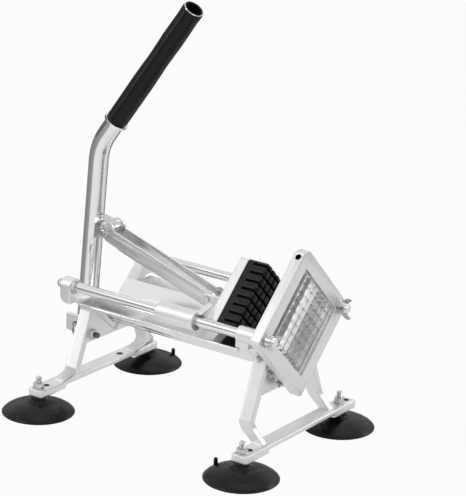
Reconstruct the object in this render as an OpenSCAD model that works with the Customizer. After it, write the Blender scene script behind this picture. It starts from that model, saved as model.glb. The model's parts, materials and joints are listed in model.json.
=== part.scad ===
// Bench-top french fry cutter with a hand lever.
// A lever and link push a studded block along two guide rods, and so press a
// potato lying in a V trough through a square grid of steel blades.
// X runs along the stroke towards the blades, Y across the cutter, Z up.
// All sizes are in millimetres. The cutter stands on z = 0.

/* [Blade grid and block] */
// distance between neighbouring cuts: the width of one fry
fry_pitch = 9.525; // [6:0.005:14]
// number of fries across the grid
fry_count = 8; // [4:1:10]
// thickness of one blade
blade_t = 0.7; // [0.4:0.1:1.2]
// outer side of the square blade frame
frame_side = 113.3; // [95:0.1:130]
// thickness of the blade frame along the stroke
frame_t = 11; // [8:0.5:16]
// side of the opening in the front half of the frame
opening_front = 82; // [78:0.5:90]
// side of the opening in the rear half of the frame
opening_rear = 77.6; // [76.6:0.1:84]
// depth of the block's solid base
block_base = 7.5; // [5:0.5:12]
// length of the block's studs
stud_len = 15.3; // [8:0.1:20]
// width of the slots between studs
slot_w = 2.6; // [1.5:0.1:4]
// depth of the rear and of the front set of blades along the stroke
blade_depth = [4.4, 5.4];

/* [Guide rods and trough] */
// height of the stroke axis above the bench
axis_z = 138; // [120:1:160]
// distance of the guide rods from the side corners of the blade frame
rod_inset = 14.6; // [12:0.1:20]
// diameter of the guide rods
rod_d = 10; // [8:0.5:14]
// radius of the bosses that hold the rods
boss_r = 8.4; // [7:0.1:11]
// height of the trough's lowest edge
trough_z = 81; // [75:0.5:84]
// thickness of the trough sheet, measured upright
sheet_t = 2.1; // [1:0.1:3]
// half width of the V part of the trough
vee_y = 36; // [30:1:45]
// half width over the flanges of the trough
flange_y = 59; // [45:0.5:64]

/* [Lever] */
// pivot of the lever, along the stroke
lever_x = -144.3; // [-160:0.1:-130]
// height of the pivot of the lever
lever_z = 73; // [60:1:80]
// outer diameter of the lever tube
tube_d = 21; // [16:0.5:28]
// wall of the lever tube
tube_wall = 1.6; // [1:0.1:3]
// forward lean of the lower part of the lever
lean_low = 4; // [0:0.5:15]
// forward lean of the upper part of the lever
lean_high = 35.8; // [20:0.1:50]
// length of the bend in the lever, on each side of its corner
bend_cut = 17; // [12:0.5:30]
// distance from the pivot to the corner of the bend
corner_at = 200.5; // [150:0.5:260]
// distance from the corner of the bend to the collar
collar_at = 35.4; // [25:0.1:60]
// length of the rubber grip
grip_len = 165.5; // [110:0.5:200]

/* [Link] */
// link pivot on the lever, along the stroke and upright
link_top = [-111, 184.5];
// link pivot on the carriage, along the stroke and upright
link_low = [25.3, 141.7];
// outer width of the link channel
link_w = 20; // [12:0.5:24]
// height of the link's walls above its pivots
link_rise = 3.8; // [3.2:0.1:6]
// depth of the link channel below its pivots
link_drop = 16.6; // [14:0.1:20]
// wall of the link channel
link_wall = 2; // [1.5:0.1:3]

/* [Carriage] */
// rear face of the carriage plate
plate_x = 56; // [40:1:70]
// thickness of the carriage plate
plate_t = 10.7; // [6:0.1:14]
// outer diameter of the sleeves that run on the rods
sleeve_d = 21; // [16:0.5:26]
// rear and front ends of the sleeves
sleeve_x = [4.5, 51.5];

/* [Legs and feet] */
// thickness of the leg castings along the stroke
leg_x = [105, 120.7];
// middle of the foot bars
foot_x = 131.75; // [115:0.25:145]
// width of the foot bars
foot_w = 18.5; // [14:0.5:26]
// half length of the foot bars
foot_y = 100; // [80:1:120]
// height of the top of the foot bars
foot_z = 26.2; // [20:0.1:32]
// thickness of the ends of the foot bars
tab_t = 8.2; // [5:0.1:12]
// positions of the inner and outer screw holes in the foot bars
hole_y = [81, 93.5];
// radius of the suction cups at the bench
cup_r = 38.6; // [25:0.1:50]

/* [Hidden] */
$fn = 64;
run = 0.05;                               // radial clearance of running fits
side_gap = 0.3;                           // clearance beside the link
block_side = fry_pitch * fry_count;
frame_x = [125, 125 + frame_t];
frame_half = frame_side * sin(45);        // from the axis to a corner of the frame
rod_y = frame_half - rod_inset;
stud_d = 6;                               // screws of the suction cups
pin_d = 6;                                // pins of the link
pivot_d = 6;                              // pivot pin of the lever
screw_d = 6;                              // bolts of the lever brackets
screw_at = [39.4, 78.6];                  // place of those bolts, across and upright
end_d = 6;                                // threaded rear ends of the rods
arm_x = [107, 120];                       // rear arms of the trough, measured backwards
arm_drop = 17;                            // upright thickness of the sloping arms
arm_y = rod_y - boss_r - 0.1;             // where the arms meet the bosses
jaw_z = trough_z + arm_y;
lug_w = link_w - 2 * (link_wall + side_gap);
block_x = plate_x + plate_t;
sleeve_bore = 14;
knee_z = 45.5;
front_web_z = 65;                         // lower edges of the webs between the legs
rear_web_z = 70;
steel = [0.83, 0.84, 0.86];
cast = [0.9, 0.9, 0.91];
chrome = [0.78, 0.79, 0.81];
black = [0.06, 0.06, 0.065];
dark = [0.25, 0.25, 0.27];

// ---------- helpers ----------

// cylinder lying along X from x0 to x1 at y, z
module bar_x(x0, x1, y, z, r, n = $fn) {
    translate([x0, y, z]) rotate([0, 90, 0]) cylinder(r = r, h = x1 - x0, $fn = n);
}

// cylinder lying along Y from y0 to y1 at x, z
module bar_y(y0, y1, x, z, r, n = $fn) {
    translate([x, y0, z]) rotate([-90, 0, 0]) cylinder(r = r, h = y1 - y0, $fn = n);
}

// outline in the XZ plane, y0 to y1 thick
module slab_xz(y0, y1, points) {
    translate([0, y1, 0]) rotate([90, 0, 0]) linear_extrude(height = y1 - y0) polygon(points);
}

// outline in the YZ plane, x0 to x1 thick
module slab_yz(x0, x1, points) {
    translate([x0, 0, 0]) rotate([90, 0, 90]) linear_extrude(height = x1 - x0) polygon(points);
}

// upright plate with rounded corners
module round_plate(x0, x1, y0, y1, z0, z1, r) {
    translate([0, 0, z0]) {
        translate([x0 + r, y0, 0]) cube([x1 - x0 - 2 * r, y1 - y0, z1 - z0]);
        translate([x0, y0 + r, 0]) cube([x1 - x0, y1 - y0 - 2 * r, z1 - z0]);
        for (x = [x0 + r, x1 - r], y = [y0 + r, y1 - r])
            translate([x, y, 0]) cylinder(r = r, h = z1 - z0, $fn = 32);
    }
}

// square prism standing on its corner, about the stroke axis
module diamond(x0, x1, side) {
    translate([x0, 0, axis_z]) rotate([45, 0, 0])
        translate([0, -side / 2, -side / 2]) cube([x1 - x0, side, side]);
}

// hexagon nut with a hole, standing on z = 0
module hex_nut(flats, h, hole_r) {
    difference() {
        cylinder(d = flats / cos(30), h = h, $fn = 6);
        translate([0, 0, -1]) cylinder(r = hole_r, h = h + 2);
    }
}

module ring(r_out, r_in, h) {
    difference() {
        cylinder(r = r_out, h = h);
        translate([0, 0, -1]) cylinder(r = r_in, h = h + 2);
    }
}

module both_sides() {
    children();
    mirror([0, 1, 0]) children();
}

// the four places where cups are fitted, and the way their pull tabs point;
// the front far cup uses the inner hole
cup_at = [
    [-foot_x, -hole_y[1], 125], [foot_x, -hole_y[1], 180], [-foot_x, hole_y[1], 62], [foot_x, hole_y[0], -90]
];

module at_cups() {
    for (p = cup_at) translate([p[0], p[1], 0]) rotate([0, 0, p[2]]) children();
}

// ---------- feet ----------

module suction_cup() {
    difference() {
        union() {
            rotate_extrude() polygon([
                [0, 4.2], [20, 3.6], [33, 1.2], [35.6, 0], [cup_r, 0], [cup_r, 1.4],
                [36.4, 3.4], [31, 6.2], [24, 8.9], [17, 10.7], [12.6, 11.6],
                [9.6, 12.8], [8.8, 14.2], [8.8, foot_z - tab_t], [0, foot_z - tab_t]
            ]);
            // pull tab for letting the cup go
            translate([0.76 * cup_r, -2, 3]) cube([4.4, 4, 10]);
        }
        translate([0, 0, 8]) cylinder(d = stud_d, h = 20);
    }
}

module suction_cups() {
    color(black) at_cups() suction_cup();
}

module cup_studs() {
    color(steel) at_cups() translate([0, 0, 8]) {
        cylinder(d = stud_d, h = foot_z + 12.4 - 8);
        translate([0, 0, foot_z + 4.4]) cylinder(d1 = stud_d, d2 = stud_d - 1.6, h = 0.8);
    }
}

module cup_washers() {
    color(steel) at_cups() translate([0, 0, foot_z]) ring(6.4, stud_d / 2, 1.4);
}

module cup_nuts() {
    color(steel) at_cups() translate([0, 0, foot_z + 1.4]) hex_nut(10, 5, stud_d / 2);
}

// ---------- leg castings ----------

// foot bar with its two end tabs; the bar ends are thicker than the middle
module foot_bar() {
    x0 = foot_x - foot_w / 2;
    x1 = foot_x + foot_w / 2;
    difference() {
        union() {
            translate([x0, -60, foot_z - 4.5]) cube([foot_w, 120, 4.5]);
            round_plate(x0, x1, -foot_y, -58, foot_z - tab_t, foot_z, 2.5);
            round_plate(x0, x1, 58, foot_y, foot_z - tab_t, foot_z, 2.5);
        }
        for (y = [-hole_y[1], -hole_y[0], hole_y[0], hole_y[1]])
            translate([foot_x, y, 0]) cylinder(d = stud_d + 0.8, h = 40);
    }
}

// one leg: a splayed upper part, and a foot that is cranked outwards to the bar
module leg() {
    slab_yz(leg_x[0], leg_x[1], [[33, 105.4], [40.2, 105.4], [63.8, knee_z], [56.6, knee_z]]);
    slab_xz(56.6, 63.8, [
        [leg_x[0], knee_z], [leg_x[1], knee_z], [leg_x[1] + 1, knee_z - 4],
        [leg_x[1] + 3, knee_z - 7], [foot_x + 6.6, foot_z - 2], [foot_x - 7.6, foot_z - 2],
        [leg_x[0] + 4, knee_z - 9], [leg_x[0] + 1, knee_z - 4.6]
    ]);
}

// V shaped arms that carry the trough, and reach up to the rod bosses; cut flat at sole
module arms(x0, x1, sole) {
    slab_yz(x0, x1, [
        [0, sole], [0, trough_z], [arm_y, jaw_z], [arm_y + 5, jaw_z],
        [arm_y + 5, jaw_z + 5 - arm_drop], [sole - trough_z + arm_drop, sole]
    ]);
}

// foot bar, legs and the web between the legs, whose lower edge is at web_z
module leg_frame(web_x, web_z) {
    foot_bar();
    both_sides() leg();
    slab_yz(web_x[0], web_x[1], [
        [-53.5, web_z], [53.5, web_z], [37, 104], [0, trough_z - 9], [-37, 104]
    ]);
}

module front_leg_casting() {
    color(cast) difference() {
        union() {
            leg_frame([106, 113.4], front_web_z);
            both_sides() {
                arms(leg_x[0] - 4, frame_x[0], front_web_z);
                // seat under the boss, and the block beside the rod
                slab_yz(leg_x[0] - 4, leg_x[1], [
                    [50, 114], [54, 118], [60, 118], [60, jaw_z], [arm_y, jaw_z], [50, 131]
                ]);
                translate([leg_x[0] - 3.5, 52, 124]) cube([15.5, rod_y + 4.5 - 52, 11.5]);
                bar_x(leg_x[0] - 1.5, frame_x[0], rod_y, axis_z, boss_r);
            }
        }
        both_sides() bar_x(90, 140, rod_y, axis_z, rod_d / 2);
        trough_bolt_holes();
        diamond(90, frame_x[0] - 1, block_side + 1.2);
    }
}

module rear_leg_casting() {
    color(cast) difference() {
        union() {
            mirror([1, 0, 0]) leg_frame([leg_x[0], leg_x[0] + 7.2], rear_web_z);
            both_sides() {
                arms(-arm_x[1], -arm_x[0], rear_web_z);
                // boss with a sloping lower rear corner
                bar_x(-leg_x[1], -arm_x[0], rod_y, axis_z, boss_r);
                slab_xz(rod_y - boss_r, rod_y + boss_r, [
                    [-arm_x[0], 120], [-arm_x[0] - 6.5, 120], [-leg_x[1] + 2.2, 122.5],
                    [-leg_x[1], 127], [-leg_x[1], axis_z], [-arm_x[0], axis_z]
                ]);
                // pads behind the bracket bolts
                bar_x(-leg_x[1], -leg_x[0], screw_at[0], screw_at[1], 8);
            }
            // spare hole pad in the far half of the foot bar
            translate([-foot_x, 43, foot_z - 4.5]) cylinder(r = 8, h = 4.5);
        }
        both_sides() {
            bar_x(-leg_x[1] + 3, -90, rod_y, axis_z, rod_d / 2);
            bar_x(-140, -90, rod_y, axis_z, end_d / 2);
            bar_x(-140, -90, screw_at[0], screw_at[1], screw_d / 2);
        }
        trough_bolt_holes();
        translate([-foot_x, 43, 0]) cylinder(d = stud_d + 0.8, h = 40);
        diamond(-leg_x[1] - 1, -90, block_side + 1.2);
    }
}

// ---------- trough ----------

// the trough's bolts: place along the stroke, then distances from the middle
trough_bolt_x = [-116.45, 120];
trough_bolt_y = [[6, 20], [3, 19, 41]];
arm_t = arm_drop * cos(45);               // thickness of the sloping arms
thread_out = 7.4;                         // how far the bolts reach below the arms

// places children on the sloping seats, square to them, at each trough bolt
module at_trough_bolts() {
    both_sides() for (end = [0, 1], y = trough_bolt_y[end])
        translate([trough_bolt_x[end], y, trough_z + y]) rotate([45, 0, 0]) children();
}

module trough_bolt_holes() {
    at_trough_bolts() translate([0, 0, -20]) cylinder(r = 2, h = 30);
}

// cross-section of the V sheet out to y
function vee(y) = [
    [0, trough_z], [y, trough_z + y], [y, trough_z + y + sheet_t],
    [y - 0.8, trough_z + y + sheet_t - 0.8], [0, trough_z + sheet_t],
    [-y + 0.8, trough_z + y + sheet_t - 0.8], [-y, trough_z + y + sheet_t], [-y, trough_z + y]
];

module trough() {
    color(steel) difference() {
        union() {
            // V part, carried by the arms at both ends and wider at the blades
            slab_yz(-119, 100, vee(vee_y));
            slab_yz(100, 124.7, vee(46));
            // flanges with rolled lips
            both_sides() {
                translate([-104.7, vee_y - 0.5, trough_z + vee_y])
                    cube([203, flange_y - vee_y + 0.5, 1.6]);
                bar_x(-104.7, 98.3, flange_y, trough_z + vee_y, 1.7, 32);
            }
        }
        trough_bolt_holes();
    }
}

module trough_bolts() {
    color(steel) at_trough_bolts() translate([0, 0, -arm_t - thread_out])
        cylinder(r = 2, h = arm_t + thread_out + sheet_t * cos(45));
}

// hexagon nuts with a washer face
module trough_nuts() {
    color(steel) at_trough_bolts() {
        translate([0, 0, -arm_t - 1.2]) ring(4.1, 2, 1.2);
        translate([0, 0, -arm_t - 4.8]) hex_nut(7, 3.7, 2);
    }
}

// ---------- guide rods ----------

module guide_rods() {
    color(chrome) both_sides() {
        bar_x(-leg_x[1] + 3, 147, rod_y, axis_z, rod_d / 2);
        bar_x(-leg_x[1] - 5.5, -leg_x[1] + 4, rod_y, axis_z, end_d / 2);
    }
}

// domed nuts on the rear ends of the rods
module rod_cap_nuts() {
    color(steel) both_sides() translate([-leg_x[1], rod_y, axis_z]) rotate([0, -90, 0])
        difference() {
            union() {
                cylinder(d = 10 / cos(30), h = 4.4, $fn = 6);
                rotate_extrude() polygon([[0, 4], [4.7, 4], [4.5, 5.8], [3.6, 7.4], [2.1, 8.3], [0, 8.6]]);
            }
            translate([0, 0, -1]) cylinder(d = end_d, h = 6.5);
        }
}

module rod_jam_nuts() {
    color(steel) both_sides() translate([-arm_x[0], rod_y, axis_z]) rotate([0, 90, 0])
        hex_nut(14, 4, rod_d / 2);
}

// ---------- lever brackets ----------

bracket_y = [14, 18];                     // inner and outer faces of the bracket ears

module lever_bracket() {
    difference() {
        union() {
            slab_xz(bracket_y[0], bracket_y[1], [
                [-leg_x[1], lever_z - 8], [lever_x - 12, lever_z - 8], [lever_x - 14, lever_z - 6],
                [lever_x - 14, lever_z + 11.4], [-leg_x[1], lever_z + 11.4]
            ]);
            translate([-leg_x[1] - 4, bracket_y[0], lever_z - 8]) cube([4, 32, 19.4]);
        }
        bar_y(10, 20, lever_x, lever_z, pivot_d / 2);
        bar_x(-140, -100, screw_at[0], screw_at[1], screw_d / 2);
    }
}

module lever_brackets() {
    color(cast) both_sides() lever_bracket();
}

module bracket_bolts() {
    color(steel) both_sides() {
        bar_x(-leg_x[1] - 4, -96, screw_at[0], screw_at[1], screw_d / 2);
        translate([-leg_x[1] - 7.4, screw_at[0], screw_at[1]]) rotate([0, 90, 0])
            cylinder(d = 10 / cos(30), h = 3.4, $fn = 6);
    }
}

module bracket_nuts() {
    color(steel) both_sides() translate([-leg_x[0], screw_at[0], screw_at[1]]) rotate([0, 90, 0])
        hex_nut(10, 5, screw_d / 2);
}

// pivot pin of the lever, with a head on the far side
module lever_pin() {
    color(steel) {
        bar_y(-bracket_y[1] - 3, bracket_y[1], lever_x, lever_z, pivot_d / 2);
        bar_y(bracket_y[1], bracket_y[1] + 3, lever_x, lever_z, 5);
    }
}

module lever_clip() {
    color(dark) translate([lever_x, -bracket_y[1], lever_z]) rotate([90, 0, 0])
        ring(4.4, pivot_d / 2, 1.2);
}

// ---------- blade frame ----------

module frame_hole(r, depth) {
    // hole in the sloping top edge, square to it
    translate([frame_x[0] + 6, -8.7, axis_z + frame_half - 8.7]) rotate([45, 0, 0])
        translate([0, 0, -depth]) cylinder(r = r, h = depth + 5);
}

module blade_frame() {
    color(cast) difference() {
        intersection() {
            diamond(frame_x[0], frame_x[1], frame_side);
            // blunted corners
            slab_yz(frame_x[0] - 1, frame_x[1] + 1, [
                [2 - frame_half, axis_z - frame_half + 2], [frame_half - 2, axis_z - frame_half + 2],
                [frame_half - 2, axis_z + frame_half - 5], [2 - frame_half, axis_z + frame_half - 5]
            ]);
        }
        diamond(frame_x[0] - 1, frame_x[1] + 1, opening_rear);
        diamond(frame_x[0] + 5.5, frame_x[1] + 1, opening_front);
        both_sides() bar_x(120, 140, rod_y, axis_z, rod_d / 2);
        frame_hole(3.25, 12);
    }
}

// one set of parallel blades; the other set is turned a quarter turn
module blade_set(x0, depth, length, quarter) {
    translate([x0, 0, axis_z]) rotate([45 + quarter, 0, 0])
        for (i = [0 : fry_count - 1])
            translate([0, (i - (fry_count - 1) / 2) * fry_pitch - blade_t / 2, -length / 2])
                cube([depth, blade_t, length]);
}

module blades_rising() {
    color(steel) blade_set(frame_x[0] + 0.4, blade_depth[0], opening_rear, 0);
}

module blades_falling() {
    color(steel) blade_set(frame_x[0] + 5.5 - 0.4, blade_depth[1], opening_rear, 90);
}

module frame_washers() {
    color(steel) both_sides() translate([frame_x[1], rod_y, axis_z]) rotate([0, 90, 0])
        ring(7.2, rod_d / 2, 1.2);
}

// wing nut with its wings turned by angle about the rod
module wing_nut(y, angle) {
    translate([frame_x[1] + 1.3, y, axis_z]) rotate([angle, 0, 0]) difference() {
        union() {
            rotate([0, 90, 0]) cylinder(r1 = 7, r2 = 6.4, h = 7);
            for (s = [0, 180]) rotate([s, 0, 0]) slab_xz(-1.3, 1.3, [
                [1, 4], [1.5, 7.5], [7, 11], [11.5, 11.3], [12.2, 9], [9.5, 7], [7, 5], [6, 4]
            ]);
        }
        rotate([0, 90, 0]) translate([0, 0, -1]) cylinder(r = rod_d / 2 + run, h = 20);
    }
}

module wing_nut_near() {
    color(steel) wing_nut(-rod_y, -72);
}

module wing_nut_far() {
    color(steel) wing_nut(rod_y, 0);
}

// ---------- lever ----------

bend = lean_high - lean_low;              // angle between the lever's two straights
bend_r = bend_cut / tan(bend / 2);
weld = 0.02;                              // how far one tube lies inside the other's wall
lap = 0.4;                                // length over which two tubes overlap

module at_pivot() {
    translate([lever_x, 0, lever_z]) rotate([0, lean_low, 0]) children();
}

module at_corner() {
    at_pivot() translate([0, 0, corner_at]) rotate([0, bend, 0]) children();
}

module tube(r_out, r_in, z0, z1) {
    translate([0, 0, z0]) difference() {
        cylinder(r = r_out, h = z1 - z0);
        translate([0, 0, -1]) cylinder(r = r_in, h = z1 - z0 + 2);
    }
}

// tube along the lever; start and end are measured from the pivot and the corner
module bent_tube(r_out, r_in, start, end) {
    at_pivot() {
        tube(r_out, r_in, start, corner_at - bend_cut);
        // short sleeve inside both walls, where the lower straight meets the bend
        tube(r_out - weld, r_in + weld, corner_at - bend_cut - lap, corner_at - bend_cut + lap);
        translate([bend_r, 0, corner_at - bend_cut]) {
            mirror([1, 0, 0]) rotate([90, 0, 0]) rotate_extrude(angle = bend)
                translate([bend_r, 0]) difference() {
                    circle(r = r_out);
                    circle(r = r_in);
                }
            // the upper straight starts inside the wall of the bend
            rotate([0, bend, 0]) translate([-bend_r, 0, 0])
                tube(r_out - weld, r_in + weld, -lap, end - bend_cut);
        }
    }
}

tube_bore = tube_d / 2 - tube_wall;
turned_off = 0.6;                         // taken off the tube's outside under the grip
grip_bore = tube_d / 2 - turned_off;
collar_t = 3.2;
collar_proud = 2.6;                       // how far the collar stands out past the tube
end_ring_t = 0.8;
end_ring_proud = 0.3;

module lever_tube() {
    color(chrome) difference() {
        union() {
            bent_tube(tube_d / 2, tube_bore, -11, collar_at);
            at_corner() tube(grip_bore, tube_bore + 2 * weld, collar_at - lap, collar_at + grip_len);
        }
        bar_y(-20, 20, lever_x, lever_z, 7);
    }
}

module lever_bush() {
    color(steel) difference() {
        bar_y(side_gap - bracket_y[0], bracket_y[0] - side_gap, lever_x, lever_z, 7);
        bar_y(-bracket_y[0], bracket_y[0], lever_x, lever_z, pivot_d / 2 + run);
    }
}

// ear that carries the top of the link
module lever_lug() {
    color(steel) difference() {
        union() {
            bar_y(-lug_w / 2, lug_w / 2, link_top[0], link_top[1], 8.5);
            slab_xz(-lug_w / 2, lug_w / 2, [
                [-134, 172], [link_top[0] + 1, link_top[1] - 8.5],
                [link_top[0] - 1, link_top[1] + 8.5], [-134, 197]
            ]);
        }
        at_pivot() cylinder(r = tube_d / 2, h = 150);
        bar_y(-10, 10, link_top[0], link_top[1], pin_d / 2);
    }
}

// the grip's swell: share of its length, and how much it stands proud of the tube
grip_swell = [
    [0, 0.9], [0.12, 1], [0.34, 1.1], [0.45, 0.8], [0.545, 0.4], [0.63, 0.6], [0.73, 1],
    [0.84, 0.8], [0.915, 0.5], [0.97, 0.8], [0.99, 0.9], [1, 0.4]
];

module lever_grip() {
    length = grip_len - collar_t - end_ring_t;
    color(black) at_corner() translate([0, 0, collar_at + collar_t]) rotate_extrude()
        polygon(concat(
            [[grip_bore, 0]],
            [for (p = grip_swell) [tube_d / 2 + p[1], length * p[0]]],
            [[grip_bore, length]]
        ));
}

module grip_collar() {
    color(steel) at_corner() translate([0, 0, collar_at]) ring(tube_d / 2 + collar_proud, grip_bore, collar_t);
}

module grip_end_ring() {
    color(steel) at_corner() translate([0, 0, collar_at + grip_len - end_ring_t])
        ring(tube_d / 2 + end_ring_proud, grip_bore, end_ring_t);
}

// ---------- link ----------

link_len = norm(link_top - link_low);
link_tilt = atan2(link_top[1] - link_low[1], link_low[0] - link_top[0]);

// places children with X along the link, from its top pivot
module at_link() {
    translate([link_top[0], 0, link_top[1]]) rotate([0, link_tilt, 0]) children();
}

ear_r = 10;                               // ears around the top pivot
tip_r = 7;                                // ends of the walls at the low pivot

// bar with a half-round underside, along the link
module round_bar(x0, x1, w, sole) {
    bar_x(x0, x1, 0, sole + w, w);
    translate([x0, -w, sole + w]) cube([x1 - x0, 2 * w, 2 * link_drop]);
}

module link_channel() {
    w = link_w / 2;
    inner = w - link_wall;
    color(chrome) at_link() difference() {
        intersection() {
            union() {
                bar_y(-w, w, 0, 0, ear_r);
                translate([0, -w, -link_drop]) cube([link_len, link_w, link_drop + link_rise]);
                bar_y(-w, w, link_len, 0, tip_r);
            }
            round_bar(-link_drop, link_len + link_drop, w, -link_drop);
            // the underside slopes up to the ears
            slab_xz(-w, w, [
                [-link_drop, -8], [-4, -10], [16, -link_drop - 1], [link_len - 6, -link_drop - 1],
                [link_len + tip_r, -5], [link_len + tip_r, 20], [-link_drop, 20]
            ]);
        }
        round_bar(-2 * link_drop, link_len + 2 * link_drop, inner, link_wall - link_drop);
        // the floor is cut back at the top to clear the lug
        translate([-link_drop, -inner, -link_drop - 1]) cube([link_drop + 18, 2 * inner, 2 * link_drop]);
        bar_y(-w - 1, w + 1, 0, 0, pin_d / 2 + run);
        bar_y(-w - 1, w + 1, link_len, 0, pin_d / 2);
    }
}

link_side = link_w / 2 + 1.3;              // outer faces of the link's washers

module link_bolt() {
    color(steel) {
        bar_y(-link_side - 8.2, link_side, link_top[0], link_top[1], pin_d / 2);
        translate([link_top[0], link_side, link_top[1]]) rotate([-90, 0, 0])
            cylinder(d = 10 / cos(30), h = 4, $fn = 6);
    }
}

module link_washers() {
    color(steel) both_sides() translate([link_top[0], link_side - 1.2, link_top[1]])
        rotate([-90, 0, 0]) ring(6, pin_d / 2, 1.2);
}

module link_bolt_nut() {
    color(steel) translate([link_top[0], -link_side, link_top[1]]) rotate([90, 0, 0])
        hex_nut(10, 5, pin_d / 2);
}

// ---------- carriage ----------

fork_y = [link_w / 2 + side_gap, link_w / 2 + side_gap + 4];   // faces of the fork's cheeks

// the two ends of the low pivot's pin
module fork_pins() {
    color(steel) both_sides() bar_y(fork_y[0], fork_y[1] + 0.5, link_low[0], link_low[1], pin_d / 2);
}

module carriage() {
    color(cast) difference() {
        union() {
            intersection() {
                diamond(plate_x, block_x, block_side);
                translate([plate_x - 1, -60, 0]) cube([plate_t + 2, 120, axis_z + 52]);
            }
            both_sides() {
                bar_x(sleeve_x[0], sleeve_x[1], rod_y, axis_z, sleeve_d / 2);
                // shoulder that joins the sleeve to the plate
                slab_yz(sleeve_x[1] - 3, plate_x + 0.2, [
                    [rod_y, axis_z - 6], [rod_y, axis_z + 8], [46, axis_z + 13.4],
                    [34, axis_z + 10], [34, axis_z - 10], [46, axis_z - 12]
                ]);
                // long web beside the sleeve
                translate([0, 0, axis_z - 2]) linear_extrude(height = 4)
                    polygon([
                        [sleeve_x[0] + 14, rod_y - 8], [sleeve_x[1], rod_y - 8],
                        [plate_x, 34], [plate_x - 5, 38]
                    ]);
                // cheek of the fork that holds the low end of the link
                slab_xz(fork_y[0], fork_y[1], [
                    [link_low[0] - 5, link_low[1] - 4.5], [link_low[0] + 5, link_low[1] - 6.5],
                    [plate_x, link_low[1] - 16],
                    [plate_x, link_low[1] + 12], [link_low[0] + 12, link_low[1] + 5],
                    [link_low[0] - 5, link_low[1] + 5]
                ]);
            }
        }
        both_sides() {
            bar_x(0, 60, rod_y, axis_z, sleeve_bore / 2);
            bar_x(50, 80, 24, axis_z, 2.5);
        }
        for (z = [-26, 26]) bar_x(50, 80, 0, axis_z + z, 2.5);
        bar_y(-20, 20, link_low[0], link_low[1], pin_d / 2);
    }
}

module sleeve_bushes() {
    color(steel) both_sides() for (x = [sleeve_x[0] - 0.6, sleeve_x[1] - 9])
        translate([x, rod_y, axis_z]) rotate([0, 90, 0])
            ring(sleeve_bore / 2, rod_d / 2 + run, 9.6);
}

module pusher_block() {
    color(black) difference() {
        intersection() {
            diamond(block_x, block_x + block_base + stud_len, block_side);
            translate([block_x - 1, -60, 0]) cube([40, 120, axis_z + 52]);
        }
        // slots that let the studs pass between the blades
        for (q = [45, 135], i = [0 : fry_count - 1])
            translate([block_x + block_base, 0, axis_z]) rotate([q, 0, 0])
                translate([0, (i - (fry_count - 1) / 2) * fry_pitch - slot_w / 2, -60])
                    cube([stud_len + 1, slot_w, 120]);
        both_sides() bar_x(block_x - 1, block_x + 5, 24, axis_z, 2.5);
        for (z = [-26, 26]) bar_x(block_x - 1, block_x + 5, 0, axis_z + z, 2.5);
    }
}

// screws through the plate into the block
module block_screws() {
    color(steel) for (p = [[-24, 0], [24, 0], [0, -26], [0, 26]]) {
        bar_x(plate_x, block_x + 5, p[0], axis_z + p[1], 2.5);
        bar_x(plate_x - 3, plate_x, p[0], axis_z + p[1], 4.6);
    }
}

// ---------- drawing ----------

suction_cups();
cup_studs();
cup_washers();
cup_nuts();
rear_leg_casting();
front_leg_casting();
trough();
trough_bolts();
trough_nuts();
guide_rods();
rod_cap_nuts();
rod_jam_nuts();
lever_brackets();
bracket_bolts();
bracket_nuts();
lever_pin();
lever_clip();
blade_frame();
blades_rising();
blades_falling();
frame_washers();
wing_nut_near();
wing_nut_far();
lever_tube();
lever_bush();
lever_lug();
lever_grip();
grip_collar();
grip_end_ring();
link_bolt();
link_bolt_nut();
link_washers();
link_channel();
fork_pins();
carriage();
sleeve_bushes();
pusher_block();
block_screws();
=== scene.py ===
# %% [markdown]
# A bench-top french fry cutter. A hand lever and a link push a black studded
# block along two chromed rods, and a potato lying in the V trough is pressed
# through a square grid of blades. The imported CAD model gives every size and
# joint. This script dresses it: it rebuilds the pieces one sees with rounded
# edges, threads and soft cast corners, and paints each with a material.

# %% The frame and the libraries
import json
import math

import bmesh
import bpy
from mathutils import Matrix, Vector


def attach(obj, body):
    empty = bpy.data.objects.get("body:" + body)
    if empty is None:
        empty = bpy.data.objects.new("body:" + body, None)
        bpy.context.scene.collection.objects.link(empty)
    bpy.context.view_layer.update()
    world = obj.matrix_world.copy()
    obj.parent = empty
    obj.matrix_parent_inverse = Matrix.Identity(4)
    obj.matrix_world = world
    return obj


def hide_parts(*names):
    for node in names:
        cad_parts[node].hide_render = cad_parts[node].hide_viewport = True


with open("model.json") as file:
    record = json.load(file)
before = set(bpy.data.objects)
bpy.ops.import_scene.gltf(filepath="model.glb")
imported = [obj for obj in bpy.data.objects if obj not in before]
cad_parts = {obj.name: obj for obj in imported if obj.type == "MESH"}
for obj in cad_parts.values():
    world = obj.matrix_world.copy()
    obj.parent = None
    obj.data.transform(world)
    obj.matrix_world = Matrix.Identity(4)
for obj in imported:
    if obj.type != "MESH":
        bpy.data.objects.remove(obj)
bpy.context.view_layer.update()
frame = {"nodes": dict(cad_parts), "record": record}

# %% [markdown]
# Sizes are easier to read in millimetres, so every helper below takes
# millimetres, and publish() turns a finished shape into Blender's metres.

# %% Units and turns
MM = 0.001
HERE = Matrix.Identity(4)


def turn(degrees, axis):
    """Rotation matrix about a named axis."""
    return Matrix.Rotation(math.radians(degrees), 4, axis)


def shift(x, y, z):
    return Matrix.Translation((x, y, z))


# %% [markdown]
# A piece that stands for a CAD node has to carry the node's body, so that it
# moves with it, and the node's finish. Both are in the frame's record, so one
# look-up table of each is enough, and no such piece repeats them by hand.

# %% Which body and finish each node has
record = frame["record"]
body_of = {node: body for body, nodes in record["behaviour"]["bodies"].items() for node in nodes}
slot_of = {subpart["node"]: subpart["material_slot"] for subpart in record["subparts"]}

# %% [markdown]
# Material nodes are wired by name in Blender, which is long to write. The
# small class Wire holds one socket and overloads + - * and so on, so a mask
# is written as an ordinary expression. Numbers that don't vary over a surface
# are set straight on the shader.

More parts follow.
